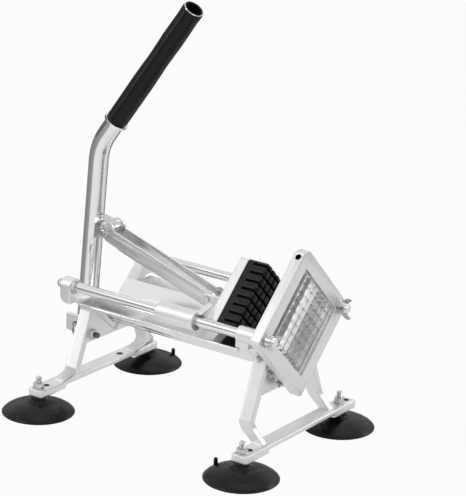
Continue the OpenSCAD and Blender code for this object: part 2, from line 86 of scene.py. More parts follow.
# %% Wires for shader maths
OBJECT_COORDS = 3        # output of a texture coordinate node
MIXED_COLOUR = 2         # output of a mix node that mixes colours


def connect(tree, socket, value):
    """Feeds a socket from a wire, or sets it to a plain value."""
    if isinstance(value, Wire):
        tree.links.new(value.socket, socket)
    else:
        socket.default_value = value


class Wire:
    """One output of a node, which sums with numbers and other wires."""

    def __init__(self, tree, socket):
        self.tree = tree
        self.socket = socket

    def _math(self, operation, a, b):
        node = self.tree.nodes.new("ShaderNodeMath")
        node.operation = operation
        connect(self.tree, node.inputs[0], a)
        connect(self.tree, node.inputs[1], b)
        return Wire(self.tree, node.outputs[0])

    def __add__(self, other):
        return self._math("ADD", self, other)

    def __sub__(self, other):
        return self._math("SUBTRACT", self, other)

    def __mul__(self, other):
        return self._math("MULTIPLY", self, other)

    def __rsub__(self, other):
        return self._math("SUBTRACT", other, self)

    def __pow__(self, other):
        return self._math("POWER", self, other)

    __radd__ = __add__
    __rmul__ = __mul__

    def clip(self):
        """Keeps the value between 0 and 1."""
        return self._math("MINIMUM", self._math("MAXIMUM", self, 0.0), 1.0)

    def rise(self, start, slope):
        """Stays 0 up to start, then climbs by slope per unit until it is 1."""
        return ((self - start) * slope).clip()


class Paint:
    """One material: a Principled shader and short ways to add nodes to it."""

    def __init__(self, name, **sockets):
        self.material = bpy.data.materials.new(name)
        self.material.use_nodes = True
        self.tree = self.material.node_tree
        self.shader = self.tree.nodes["Principled BSDF"]
        for socket, value in sockets.items():
            self.shader.inputs[socket.replace("_", " ")].default_value = value

    def node(self, kind, settings=None, out=0, **inputs):
        """Adds a node, sets it up, feeds its sockets and returns one output.

        A socket is named, or written as _6 where only its number is its own.
        """
        node = self.tree.nodes.new("ShaderNode" + kind)
        for key, value in (settings or {}).items():
            setattr(node, key, value)
        for key, value in inputs.items():
            which = int(key[1:]) if key[1:].isdigit() else key.replace("_", " ")
            connect(self.tree, node.inputs[which], value)
        return Wire(self.tree, node.outputs[out])

    def place(self, scale, rotation=None):
        """Object coordinates in metres, turned and then stretched."""
        where = self.node("TexCoord", out=OBJECT_COORDS)
        if rotation:
            angles = tuple(math.radians(a) for a in rotation)
            where = self.node("Mapping", Vector=where, Rotation=angles)
        return self.node("Mapping", Vector=where, Scale=scale)

    def noise(self, size, detail, stretch=(1, 1, 1), rotation=None):
        """Noise between 0 and 1 whose lumps are about size millimetres across."""
        vector = self.place(tuple(s / MM / size for s in stretch), rotation)
        return self.node("TexNoise", Vector=vector, Scale=1.0, Detail=detail)

    def feed(self, **sockets):
        for socket, value in sockets.items():
            self.tree.links.new(value.socket, self.shader.inputs[socket.replace("_", " ")])

    def shade(self, factor, dark, light):
        """Base colour between two greys, each given as a value and extra blue."""
        self.feed(Base_Color=self.node("Mix", {"data_type": "RGBA"}, out=MIXED_COLOUR,
                                       _0=factor, _6=grey(*dark), _7=grey(*light)))

    def bump(self, height, depth_mm, strength):
        self.feed(Normal=self.node("Bump", Height=height, Distance=depth_mm * MM,
                                   Strength=strength))


def grey(value, blue=0.0):
    return (value, value, value + blue, 1.0)


# %% [markdown]
# No metal surface is even. A slow cloud of noise changes its tone and how
# glossy it is from place to place, and a fine grain roughens what is cast.

# %% Metals
def cast_aluminium():
    p = Paint("cast_aluminium", Metallic=0.85)
    cloud = p.noise(22, 2)
    grain = p.noise(0.9, 4)
    p.shade(cloud, (0.80, 0.005), (0.90, 0.008))
    p.feed(Roughness=0.26 + 0.2 * cloud + 0.06 * grain)
    p.bump(grain, 0.06, 0.5)
    return p.material


def polished_sheet():
    """Rolled sheet, with faint lines along it."""
    p = Paint("polished_sheet", Metallic=1.0)
    lines = p.noise(0.8, 3, stretch=(0.01, 1, 1))
    cloud = p.noise(30, 2)
    p.shade(cloud, (0.80, 0.008), (0.88, 0.01))
    p.feed(Roughness=0.12 + 0.12 * lines + 0.06 * cloud)
    p.bump(lines, 0.02, 0.4)
    return p.material


def chrome():
    p = Paint("chrome", Metallic=1.0)
    cloud = p.noise(18, 2)
    p.shade(cloud, (0.78, 0.008), (0.84, 0.01))
    p.feed(Roughness=0.07 + 0.08 * cloud)
    return p.material


def pressed_steel():
    p = Paint("pressed_steel", Metallic=1.0)
    cloud = p.noise(24, 2)
    grain = p.noise(0.7, 3)
    p.shade(cloud, (0.8, 0.008), (0.88, 0.01))
    p.feed(Roughness=0.2 + 0.1 * cloud + 0.06 * grain)
    return p.material


def zinc():
    p = Paint("bright_zinc", Metallic=1.0)
    cloud = p.noise(3, 3)
    p.shade(cloud, (0.36, 0.01), (0.8, 0.015))
    p.feed(Roughness=0.08 + 0.14 * cloud)
    return p.material


def dark_steel():
    p = Paint("dark_steel", Metallic=0.9, Roughness=0.4)
    p.shade(p.noise(3, 3), (0.12, 0), (0.2, 0.01))
    return p.material


BETWEEN_SETS = 0.12995   # metres along X, where one set of blades ends and the next begins
BLADE_PATCH = 5.2        # millimetres, so each blade gets a painted reflection tone of its own


def blade_steel():
    """Each blade gets its own tone, from dark to bright: a painted reflection of the strips that
    polished blades mirror.
    """
    p = Paint("blade_steel", Metallic=1.0)
    along_x = p.node("SeparateXYZ", Vector=p.node("TexCoord", out=OBJECT_COORDS))
    front = along_x.rise(BETWEEN_SETS, 20000)
    across_front = p.noise(BLADE_PATCH, 2, stretch=(0.2, 1, 0), rotation=(45, 0, 0))
    across_rear = p.noise(BLADE_PATCH, 2, stretch=(0.2, 0, 1), rotation=(45, 0, 0))
    # Painted reflection: each blade's tone, from near black to near white, stands in for the
    # bright and dark strips that polished steel mirrors.
    painted_reflection_tone = front * across_front + (1 - front) * across_rear
    lines = p.noise(0.6, 2, stretch=(1, 0.03, 0.03))
    p.shade(painted_reflection_tone.rise(0.4, 5), (0.14, 0.01), (0.98, 0.012))
    p.feed(Roughness=0.28 + 0.2 * lines)
    return p.material


# %% Rubber and plastic
def black_rubber():
    p = Paint("black_rubber", Specular_IOR_Level=0.22)
    cloud = p.noise(8, 3)
    p.shade(cloud, (0.003, 0), (0.008, 0.0005))
    p.feed(Roughness=0.2 + 0.22 * cloud)
    return p.material


def grip_rubber():
    p = Paint("grip_rubber", Roughness=0.36, Specular_IOR_Level=0.22)
    grain = p.noise(0.6, 3)
    p.shade(grain, (0.003, 0), (0.007, 0.0005))
    p.bump(grain, 0.05, 0.4)
    return p.material


def block_plastic():
    p = Paint("block_plastic", Specular_IOR_Level=0.3)
    grain = p.noise(1.4, 3)
    p.shade(grain, (0.003, 0), (0.009, 0.0005))
    p.feed(Roughness=0.3 + 0.22 * grain)
    return p.material


finishes = {
    "cast_aluminium": cast_aluminium(),
    "frame_aluminium": cast_aluminium(),
    "trough_sheet": polished_sheet(),
    "rod_chrome": chrome(),
    "tube_chrome": chrome(),
    "link_steel": pressed_steel(),
    "zinc_steel": zinc(),
    "dark_steel": dark_steel(),
    "blade_steel": blade_steel(),
    "collar_steel": chrome(),
    "bush_bronze": zinc(),
    "cup_rubber": black_rubber(),
    "grip_rubber": grip_rubber(),
    "block_plastic": block_plastic(),
}
for node, slot in slot_of.items():
    materials = frame["nodes"][node].data.materials
    materials.clear()
    materials.append(finishes[slot])

# %% [markdown]
# Every new piece ends in the same way: the mesh is scaled to metres, smooth
# where its faces meet at a flat angle and sharp elsewhere, painted, and put on
# its body. publish() does that once for all of them. A small extra piece that
# stands for no node names its body and finish itself.

# %% Finishing a piece
def to_object(name, bm, scale=MM, crease=35):
    """Turns a bmesh into an object; crease is the sharp angle in degrees."""
    bmesh.ops.transform(bm, matrix=Matrix.Scale(scale, 4), verts=bm.verts)
    data = bpy.data.meshes.new(name)
    bm.to_mesh(data)
    bm.free()
    data.polygons.foreach_set("use_smooth", [True] * len(data.polygons))
    data.set_sharp_from_angle(angle=math.radians(crease))
    piece = bpy.data.objects.new(name, data)
    bpy.context.collection.objects.link(piece)
    return piece


def publish(name, bm, *nodes, scale=MM, crease=35, slot=None, body=None):
    """Puts a finished shape in the scene in place of the CAD nodes it stands for."""
    piece = to_object(name, bm, scale, crease)
    slot = slot or slot_of[nodes[0]]
    piece.data.materials.append(finishes[slot])
    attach(piece, body or body_of[nodes[0]])
    if nodes:
        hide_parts(*nodes)
    print(f"{name}: {len(piece.data.polygons)} faces in {slot}")


# %% [markdown]
# Many pieces only need what a sharp CAD solid lacks, which is an edge that
# catches the light. The CAD mesh itself is loose triangles and is never
# changed. A copy is merged, its flat triangles are dissolved into whole faces,
# and then its corners can be bevelled.

# %% Copies of CAD solids with rounded edges
SAME_POINT = 1e-6        # metres
FLAT_ANGLE = 0.5         # degrees
SHARP_ANGLE = 32         # degrees


def cad_copy(node):
    """The node's mesh in one connected piece, in metres."""
    bm = bmesh.new()
    bm.from_mesh(frame["nodes"][node].data)
    bmesh.ops.remove_doubles(bm, verts=bm.verts, dist=SAME_POINT)
    return bm


def corners(bm, least):
    """Outer edges whose faces meet at more than so many degrees."""
    limit = math.radians(least)
    return [e for e in bm.edges if len(e.link_faces) == 2 and e.calc_face_angle_signed(0) > limit]


def round_edges(bm, edges, radius, segments):
    bmesh.ops.bevel(bm, geom=edges, offset=radius, offset_type="OFFSET", segments=segments,
                    profile=0.5, affect="EDGES", clamp_overlap=True, material=-1)


def publish_softened(name, node, radius_mm, segments=2):
    """A copy of a CAD node with its outer edges rounded."""
    bm = cad_copy(node)
    bmesh.ops.dissolve_limit(bm, angle_limit=math.radians(FLAT_ANGLE), verts=bm.verts,
                             edges=bm.edges)
    round_edges(bm, corners(bm, SHARP_ANGLE), radius_mm * MM, segments)
    publish(name, bm, node, scale=1)


# %% [markdown]
# A sand casting has no sharp corner at all: the pattern was filleted so that
# it left the sand, and polishing took the outer edges off. Bevelling can't do
# the inner corners, where legs, webs and bosses grow together. A fine voxel
# remesh followed by a few rounds of smoothing rounds both kinds at once.


def publish_cast(name, node, voxel_mm, rounds):
    """A copy of a CAD node with all its corners, outer and inner, worn soft."""
    rough = to_object("rough", cad_copy(node), scale=1)
    remesh = rough.modifiers.new("remesh", "REMESH")
    remesh.mode = "VOXEL"
    remesh.voxel_size = voxel_mm * MM * 1
    done = rough.evaluated_get(bpy.context.evaluated_depsgraph_get())
    bm = bmesh.new()
    bm.from_mesh(done.to_mesh())
    done.to_mesh_clear()
    bpy.data.objects.remove(rough)
    for _ in range(rounds):
        bmesh.ops.smooth_vert(bm, verts=bm.verts, factor=0.5, use_axis_x=True, use_axis_y=True,
                              use_axis_z=True)
    publish(name, bm, node, scale=1, crease=50)


# %% [markdown]
# Turned parts, from cups to washers, are an outline spun round an axis. The
# outline is a list of radius and height pairs. A closed outline makes a ring,
# and an open one that starts and ends on the axis makes a solid.

# %% Turning
def lathe(outline, steps=40, closed=False):
    """Spins an outline round Z."""
    bm = bmesh.new()
    verts = [bm.verts.new((r, 0, z)) for r, z in outline]
    pairs = list(zip(verts, verts[1:]))
    if closed:
        pairs.append((verts[-1], verts[0]))
    for pair in pairs:
        bm.edges.new(pair)
    bmesh.ops.spin(bm, geom=bm.verts[:] + bm.edges[:], cent=(0, 0, 0), axis=(0, 0, 1),
                   angle=math.tau, steps=steps, use_merge=True)
    bmesh.ops.remove_doubles(bm, verts=bm.verts, dist=1e-4)
    bmesh.ops.recalc_face_normals(bm, faces=bm.faces)
    return bm


def gather(*shapes):
    """Joins (bmesh, matrix) pairs into one bmesh and frees them."""
    whole = bmesh.new()
    for bm, matrix in shapes:
        bmesh.ops.transform(bm, matrix=matrix, verts=bm.verts)
        data = bpy.data.meshes.new("part")
        bm.to_mesh(data)
        bm.free()
        whole.from_mesh(data)
        bpy.data.meshes.remove(data)
    return whole


def copies(make, places):
    """Joins the shapes that make() returns, one for each place."""
    return gather(*((make(), place) for place in places))


def pair_along_x(x, y, z, way=1):
    """Places for a Z shape at y and -y, from x on, pointing to way times X."""
    return [shift(x, side * y, z) @ turn(90 * way, "Y") for side in (-1, 1)]


def washer(outer, inner, thick):
    """Ring standing on z = 0, with its edges broken."""
    edge = min(0.25, thick / 3)
    return lathe([(inner, edge), (inner + edge, 0), (outer - edge, 0), (outer, edge),
                  (outer, thick - edge), (outer - edge, thick), (inner + edge, thick),
                  (inner, thick - edge)], closed=True)


def rod(radius, z0, z1, chamfer):
    """Round bar along Z with chamfered ends."""
    return lathe([(0, z0), (radius - chamfer, z0), (radius, z0 + chamfer),
                  (radius, z1 - chamfer), (radius - chamfer, z1), (0, z1)], steps=32)


def tip(wide, narrow, steps):
    """Short cone that ends a threaded bar."""
    return lathe([(0, 0), (wide, 0), (narrow, 0.8), (0, 0.8)], steps)


# %% [markdown]
# A thread is a zigzag line spun round its axis while it climbs. After one turn
# it has climbed exactly one pitch, so its teeth meet the next ones and merge
# into one long helix. Two cuts square to the axis give it flat, closed ends.

# %% Threads
def thread(radius, z0, z1, pitch=1.25, depth=0.6, steps=20):
    """Threaded bar along Z; radius is that of the crests."""
    crest_from, crest_to = 0.42, 0.58      # shares of the pitch
    near = 1e-3
    bm = bmesh.new()
    turns = int((z1 - z0) / pitch) + 3
    verts = []
    for k in range(turns):
        z = z0 + (k - 1.5) * pitch
        verts.append(bm.verts.new((radius - depth, 0, z)))
        verts.append(bm.verts.new((radius, 0, z + crest_from * pitch)))
        verts.append(bm.verts.new((radius, 0, z + crest_to * pitch)))
    verts.append(bm.verts.new((radius - depth, 0, z0 + (turns - 1.5) * pitch)))
    for a, b in zip(verts, verts[1:]):
        bm.edges.new((a, b))
    bmesh.ops.spin(bm, geom=bm.verts[:] + bm.edges[:], cent=(0, 0, 0), axis=(0, 0, 1),
                   dvec=(0, 0, pitch / steps), angle=math.tau, steps=steps, use_merge=False)
    bmesh.ops.remove_doubles(bm, verts=bm.verts, dist=near)
    for z, way in ((z0, -1), (z1, 1)):
        bmesh.ops.bisect_plane(bm, geom=bm.verts[:] + bm.edges[:] + bm.faces[:],
                               plane_co=(0, 0, z), plane_no=(0, 0, way), clear_outer=True)
        rim = [e for e in bm.edges if e.is_boundary
               and all(abs(v.co.z - z) < near for v in e.verts)]
        bmesh.ops.edgeloop_fill(bm, edges=rim)
    bmesh.ops.recalc_face_normals(bm, faces=bm.faces)
    return bm


# %% [markdown]
# A hexagon nut is a ring whose outside is pushed out to a hexagon. Its corners
# are cut by a shallow cone at both faces, so they are lower than the flats.

# %% Nuts and bolt heads
def hexagon(flats, height, bore=0.0):
    """Nut, or bolt head where bore is 0, standing on z = 0."""
    inner, face = flats / 2, 0.48 * flats
    lip, slope, lead_in = 0.1, 0.45, 0.4
    outline = [(face, 0), (inner, lip), (inner, height - lip), (face, height)]
    if bore:
        outline = [(bore, lead_in), (bore + lead_in, 0), *outline,
                   (bore + lead_in, height), (bore, height - lead_in)]
    else:
        outline = [(0, 0), *outline, (0, height)]
    bm = lathe(outline, steps=36, closed=bool(bore))
    for v in bm.verts:
        radius = math.hypot(v.co.x, v.co.y)
        if abs(radius - inner) > 0.01:
            continue
        angle = (math.atan2(v.co.y, v.co.x) + math.pi / 6) % (math.pi / 3) - math.pi / 6
        wide = inner / math.cos(angle)
        drop = lip + slope * (wide - inner)
        v.co.z = drop if v.co.z < height / 2 else height - drop
        v.co.x *= wide / radius
        v.co.y *= wide / radius
    return bm


# %% [markdown]
# Four rubber cups hold the cutter down. Each is moulded with a thin lip, a
# bell that swells up to a neck, and a small peg at one side to peel it off the
# bench. The mould was turned on a lathe, so the bell keeps very fine ripples
# round its axis. They are far too small to see one by one, but they draw each
# highlight out towards the rim.

# %% Suction cups
FOOT_X, FOOT_Z, TAB_T, CUP_R = 131.75, 26.2, 8.2, 38.6
HOLE_Y = (81, 93.5)
CUPS = (                 # x, y and the way in which the peg points
    (-FOOT_X, -HOLE_Y[1], 125), (FOOT_X, -HOLE_Y[1], 180),
    (-FOOT_X, HOLE_Y[1], 62), (FOOT_X, HOLE_Y[0], -90),
)
CUP_PLACES = [shift(x, y, 0) @ turn(angle, "Z") for x, y, angle in CUPS]
STUD_R, STUD_LOW, STUD_TOP = 3, 8, FOOT_Z + 12.4


def rippled(outline, pitch=0.55, depth=0.028):
    """Cuts an outline into short steps that stand out and in by turns."""
    points, side = [outline[0]], 1
    for (r0, z0), (r1, z1) in zip(outline, outline[1:]):
        length = math.hypot(r1 - r0, z1 - z0)
        steps = max(1, round(length / pitch))
        for k in range(1, steps + 1):
            side = -side
            points.append((r0 + (r1 - r0) * k / steps + side * depth * (z1 - z0) / length,
                           z0 + (z1 - z0) * k / steps - side * depth * (r1 - r0) / length))
    return points


def suction_cup():
    top = FOOT_Z - TAB_T
    hollow = [(0, 4.2), (10, 4), (20, 3.4), (30, 2), (35, 0.3), (36.4, 0), (38.1, 0),
              (CUP_R, 0.25), (CUP_R, 0.9)]
    outside = [(38, 1.5), (36.4, 3.1), (33.8, 4.8), (29.5, 7), (24, 9), (18, 10.6),
               (13.4, 11.6), (10.4, 12.9)]
    neck = [(9.3, 14.3), (8.9, 15), (8.8, top - 0.2), (8.6, top), (0, top)]
    bell = lathe(hollow + rippled(outside) + neck, steps=96)
    peg_at = 0.76 * CUP_R + 2.2
    peg = bmesh.new()
    bmesh.ops.create_cone(peg, cap_ends=True, segments=20, radius1=2.4, radius2=2, depth=10)
    round_edges(peg, corners(peg, 40), 0.9, 3)
    return gather((bell, HERE), (peg, shift(peg_at, 0, 8)))


def cup_stud():
    return gather((thread(STUD_R, STUD_LOW, STUD_TOP), HERE),
                  (tip(2.9, 2.3, 20), shift(0, 0, STUD_TOP)))


def cup_washer():
    return gather((washer(6.4, STUD_R, 1.4), shift(0, 0, FOOT_Z)))


def cup_nut():
    return gather((hexagon(10, 5, STUD_R), shift(0, 0, FOOT_Z + 1.4)))


publish("suction_cup_set", copies(suction_cup, CUP_PLACES), "suction_cups")
publish("cup_stud_set", copies(cup_stud, CUP_PLACES), "cup_studs")
publish("cup_washer_set", copies(cup_washer, CUP_PLACES), "cup_washers")
publish("cup_nut_set", copies(cup_nut, CUP_PLACES), "cup_nuts")

# %% [markdown]
# The two leg frames, the carriage and the lever's brackets are castings. The
# foot bars, the splayed legs, the V arms and the rod bosses of a frame are one
# piece of metal, so each goes through the casting helper as a whole.

# %% Leg frames, carriage and brackets
publish_cast("rear_leg_frame", "rear_leg_casting", 0.75, 3)
publish_cast("front_leg_frame", "front_leg_casting", 0.75, 3)
publish_cast("carriage_casting", "carriage", 0.7, 3)
publish_cast("bracket_pair", "lever_brackets", 0.5, 5)

# %% [markdown]
# The spare screw holes are tapped, and thin threaded liners stand for their walls. The
# liners are dark steel as painted shade, for the shade deep inside each hole.

# %% Liners of the spare holes, dark as painted shade
SPARE_HOLES = ((-FOOT_X, -HOLE_Y[0]), (-FOOT_X, HOLE_Y[0]), (FOOT_X, -HOLE_Y[0]),
               (FOOT_X, HOLE_Y[1]))
BAR_HOLE = (-FOOT_X, 43)
BAR_T = 4.5


def shade_liner(low, high):
    """Thin ring whose inner wall is a zigzag, like a tapped thread, dark as painted shade in the
    hole.
    """
    radius, wall, pitch, depth, margin = 3.38, 0.1, 0.8, 0.35, 0.25
    waves = int((high - low) / pitch)
    inside = [(radius - depth * (k % 2) - 0.05,
               high - margin - (high - low - 2 * margin) * k / waves) for k in range(waves + 1)]
    return lathe([(radius + wall, low + 0.2), (radius + wall, high - 0.2)] + inside, 28,
                 closed=True)


# Dark liners in the spare holes: painted shade for the shade deep inside them.
shade_liners = gather(*((shade_liner(FOOT_Z - TAB_T, FOOT_Z), shift(x, y, 0)) for x, y in SPARE_HOLES),
                (shade_liner(FOOT_Z - BAR_T, FOOT_Z), shift(*BAR_HOLE, 0)))
publish("spare_hole_shade_liners", shade_liners, body="frame", slot="dark_steel")

# %% [markdown]
# The blade frame is cast too, but its faces are milled flat, so it keeps crisp
# planes and only its edges are broken. The blind hole in its top corner gets a
# dark liner as well, a deep cup just inside its wall, as painted shade for the
# shade deep inside the hole.

# %% Blade frame and blades
AXIS_Z = 138.0
FRAME_X, FRAME_HALF = 125.0, 80.115
HOLE_IN = 8.7            # how far the hole lies in from the corner, along Y and Z
TOP_HOLE = shift(FRAME_X + 6, -HOLE_IN, AXIS_Z + FRAME_HALF - HOLE_IN) @ turn(45, "X")
# Dark cup in the blind hole: painted shade for the shade deep inside it.
hole_shade_cup = lathe([(0, -11.6), (3.1, -11.6), (3.3, -11), (3.3, -0.3), (3.0, -0.35), (2.9, -10.6),
                (0, -10.9)], 28)
publish("frame_hole_shade_liner", gather((hole_shade_cup, TOP_HOLE)), body="frame", slot="dark_steel")
publish_softened("grid_frame", "blade_frame", 1.1, 3)
publish_softened("blade_set_rising", "blades_rising", 0.16, 1)
publish_softened("blade_set_falling", "blades_falling", 0.16, 1)

# %% [markdown]
# Wing nuts are small castings: a round boss with two rounded ears. A finer
# voxel keeps the ears thin.

# %% Wing nuts
for side in ("near", "far"):
    publish_cast(f"wing_nut_{side}_casting", f"wing_nut_{side}", 0.35, 4)

# %% [markdown]
# The trough is bent sheet, the link a pressed channel and the block a machined
# plastic brick whose slots let it pass between the blades. All three have
# straight folds, so a small bevel on each corner is what they need.

# %% Trough, link and block
publish_softened("trough_sheet_metal", "trough", 0.35)
publish_softened("link_arm", "link_channel", 0.45)
publish_softened("studded_block", "pusher_block", 0.45)
publish_softened("link_ear", "lever_lug", 0.7)
publish_softened("block_screw_set", "block_screws", 0.5)

# %% [markdown]
# The rods are ground and chromed steel with a thread at the blade end for the
# wing nuts. At the rear a domed nut on a thinner thread holds each of them.

# %% Guide rods and their nuts
ROD_Y, ROD_R = FRAME_HALF - 14.6, 5.0
ROD_REAR, ROD_THREAD, ROD_FRONT = -117.7, 122, 146.2
CAP_X, JAM_X, FRAME_WASHER_X, BUSH_X = -120.7, -107, 136, (3.9, 42.5)


def rod_places(x, way=1):
    return pair_along_x(x, ROD_Y, AXIS_Z, way)


def guide_rod():
    """Plain shaft, threaded front end with its tip, and thinner rear end."""
    return gather((rod(ROD_R, ROD_REAR, ROD_THREAD, 0.4), HERE),
                  (thread(ROD_R, ROD_THREAD, ROD_FRONT, 1.5, 0.8, 28), HERE),
                  (tip(4.9, 4.2, 28), shift(0, 0, ROD_FRONT)),
                  (rod(3, -126, -116, 0.4), HERE))


def cap_nut():
    """Low hexagon with a dome on it."""
    dome = [(0, 4), (4.7, 4), (4.6, 5.2), (4.1, 6.6), (3.1, 7.8), (1.6, 8.45), (0, 8.6)]
    return gather((hexagon(10, 4.4, 3), HERE), (lathe(dome, 32), HERE))


publish("guide_rod_pair", copies(guide_rod, rod_places(0)), "guide_rods")
publish("rod_jam_nut_pair", copies(lambda: hexagon(14, 4, ROD_R), rod_places(JAM_X)),
        "rod_jam_nuts")
publish("rod_cap_nut_pair", copies(cap_nut, rod_places(CAP_X, -1)), "rod_cap_nuts")
publish("frame_washer_pair", copies(lambda: washer(7.2, ROD_R, 1.2), rod_places(FRAME_WASHER_X)),
        "frame_washers")
publish("sleeve_bush_set", copies(lambda: washer(7, ROD_R + 0.05, 9.6),
                                  [place for x in BUSH_X for place in rod_places(x)]),
        "sleeve_bushes")

# %% [markdown]
# The trough is bolted to the sloping arms. The bolts come out below, where
# one sees their threads, nuts and washers in a row.

# %% Bolts under the trough
TROUGH_Z, THREAD_OUT = 81.0, 7.4
COS_45 = math.cos(math.radians(45))
ARM_T, SHEET_RISE = 17 * COS_45, 2.1 * COS_45      # square to the sloping arms
BOLT_ROWS = ((-116.45, (6, 20)), (120, (3, 19, 41)))    # x, and how far out each bolt is
BOLT_PLACES = [shift(x, side * y, TROUGH_Z + y) @ turn(45 * side, "X")
               for x, ys in BOLT_ROWS for y in ys for side in (-1, 1)]


def trough_bolt():
    return gather((thread(2, -ARM_T - THREAD_OUT, -ARM_T + 1, 0.9, 0.4, 14), HERE),
                  (rod(2, -ARM_T + 0.9, SHEET_RISE, 0.2), HERE))


def trough_nut():
    return gather((hexagon(7, 3.7, 2), shift(0, 0, -ARM_T - 4.8)),
                  (washer(4.1, 2, 1.2), shift(0, 0, -ARM_T - 1.2)))


publish("trough_bolt_set", copies(trough_bolt, BOLT_PLACES), "trough_bolts")
publish("trough_nut_set", copies(trough_nut, BOLT_PLACES), "trough_nuts")

# %% [markdown]
# Two short bolts hold the lever's brackets to the web, with the thread and
# nut on the trough's side. The lever itself turns on a plain pin with a head
# at the far end and a dark spring clip at the near one.

# %% Bolts of the brackets, and the lever's pin
LEVER_X, LEVER_Z = -144.3, 73.0
SCREW_Y, SCREW_Z = 39.4, 78.6
HEAD_X, NUT_X = -124.7, -105


def bracket_bolt():
    return gather((hexagon(10, 3.4), shift(0, 0, -3.4)), (rod(3, -0.2, 18, 0.2), HERE),
                  (thread(3, 17, 28.7, 1.25, 0.7), HERE))


def on_pivot(y, way=1):
    """Place for a Z shape on the pivot line, from y on, pointing to way times Y."""
    return shift(LEVER_X, y, LEVER_Z) @ turn(-90 * way, "X")


publish("bracket_bolt_pair", copies(bracket_bolt, pair_along_x(HEAD_X, SCREW_Y, SCREW_Z)),
        "bracket_bolts")
publish("bracket_nut_pair",
        copies(lambda: hexagon(10, 5, 3), pair_along_x(NUT_X, SCREW_Y, SCREW_Z)), "bracket_nuts")
pin_head = lathe([(0, 0), (5, 0), (5, 1.6), (4.4, 2.5), (3, 3), (0, 3)])
publish("lever_pivot_pin", gather((rod(3, -21, 18.2, 0.5), on_pivot(0)),
                                  (pin_head, on_pivot(18))), "lever_pin")
publish("lever_pivot_clip", gather((washer(4.4, 3, 1.2), on_pivot(-18, -1))), "lever_clip")
publish("lever_pivot_bush", gather((washer(7, 3.05, 27.4), on_pivot(-13.7))), "lever_bush")

# %% [markdown]
# The lever is one steel tube, bent once. A circle is extruded up to the bend,
# spun round the bend's centre, and extruded again; the inner wall is made the
# same way. At both ends the outer wall's rim is drawn in until it meets the
# inner one, and the two are merged. Under the grip the tube is turned down, so
# the rubber sits almost flush with the chrome.

# %% Lever tube
LEAN, BEND = 4.0, 31.8                  # degrees: the lower part, and more above the bend
CORNER_AT, BEND_CUT = 200.5, 17.0       # where the two straights would meet, less the bend
COLLAR_AT, GRIP_LEN = 35.4, 165.5       # measured from that corner
TUBE_R, TUBE_BORE, GRIP_BORE = 10.5, 8.9, 9.9
TUBE_FOOT = 11                          # how far the tube goes on below the pivot
BEND_R = BEND_CUT / math.tan(math.radians(BEND / 2))
AT_PIVOT = shift(LEVER_X, 0, LEVER_Z) @ turn(LEAN, "Y")
AT_CORNER = AT_PIVOT @ shift(0, 0, CORNER_AT) @ turn(BEND, "Y")
UP, STAY = Vector((0, 0, 1)), Vector((0, 0, 0))


def extend(bm, rim, along, narrow=1.0):
    """Extrudes an open rim by a vector, scales it and returns it."""
    made = bmesh.ops.extrude_edge_only(bm, edges=rim)["geom"]
    rim = [g for g in made if isinstance(g, bmesh.types.BMEdge)
           and all(v in made for v in g.verts) and g.is_boundary]
    verts = list(dict.fromkeys(v for e in rim for v in e.verts))
    middle = sum((v.co for v in verts), Vector()) / len(verts)
    for v in verts:
        v.co = middle + (v.co - middle) * narrow + along
    return rim


def tube_shell(radius, grip_radius):
    """Open shell along the lever, and its rims at the foot and at the top."""
    steps, neck_len = 8, 0.5
    bm = bmesh.new()
    bmesh.ops.create_circle(bm, segments=48, radius=radius,
                            matrix=AT_PIVOT @ shift(0, 0, -TUBE_FOOT))
    rim = foot = bm.edges[:]
    lower = AT_PIVOT.to_3x3() @ UP
    for _ in range(steps):
        rim = extend(bm, rim, lower * ((CORNER_AT - BEND_CUT + TUBE_FOOT) / steps))
    centre = AT_PIVOT @ Vector((BEND_R, 0, CORNER_AT - BEND_CUT))
    bent = bmesh.ops.spin(bm, geom=rim, cent=centre, axis=(0, 1, 0), angle=math.radians(BEND),
                          steps=16)["geom_last"]
    rim = [g for g in bent if isinstance(g, bmesh.types.BMEdge)]
    upper = AT_CORNER.to_3x3() @ UP
    rim = extend(bm, rim, upper * (COLLAR_AT - BEND_CUT - neck_len))
    rim = extend(bm, rim, upper * neck_len, grip_radius / radius)
    top = extend(bm, rim, upper * GRIP_LEN)
    return bm, foot, top


def lever_tube():
    outer, foot, top = tube_shell(TUBE_R, GRIP_BORE)
    inner, _, _ = tube_shell(TUBE_BORE, TUBE_BORE)
    extend(outer, foot, STAY, TUBE_BORE / TUBE_R)
    extend(outer, top, STAY, TUBE_BORE / GRIP_BORE)
    bm = gather((outer, HERE), (inner, HERE))
    bmesh.ops.remove_doubles(bm, verts=bm.verts, dist=1e-3)
    bmesh.ops.recalc_face_normals(bm, faces=bm.faces)
    return bm


publish("lever_bent_tube", lever_tube(), "lever_tube", crease=40)

# %% [markdown]
# The grip is a moulded rubber sleeve that swells for the palm and narrows
# between the fingers. A bright collar ends it below and a thin ring at its
# upper end. A deep dark rubber cup lines the tube's mouth there. It is painted
# shade, standing in for the shade inside the tube.

# %% Grip, collar and end ring
COLLAR_T, RING_T = 3.2, 0.8
SWELL = (                # place along the grip, and how far the rubber stands out
    (0, 0.9), (0.12, 1), (0.34, 1.1), (0.45, 0.8), (0.545, 0.4), (0.63, 0.6),
    (0.73, 1), (0.84, 0.8), (0.915, 0.5), (0.97, 0.8), (0.99, 0.9), (1, 0.4),
)


def on_grip(distance):
    """Place for a Z shape on the lever's upper part, so far from the corner."""
    return AT_CORNER @ shift(0, 0, distance)


def swell_at(t):
    """Passes smoothly through the points of SWELL."""
    for (t0, s0), (t1, s1) in zip(SWELL, SWELL[1:]):
        if t <= t1:
            u = (t - t0) / (t1 - t0)
            return s0 + (s1 - s0) * (u * u * (3 - 2 * u))
    return SWELL[-1][1]


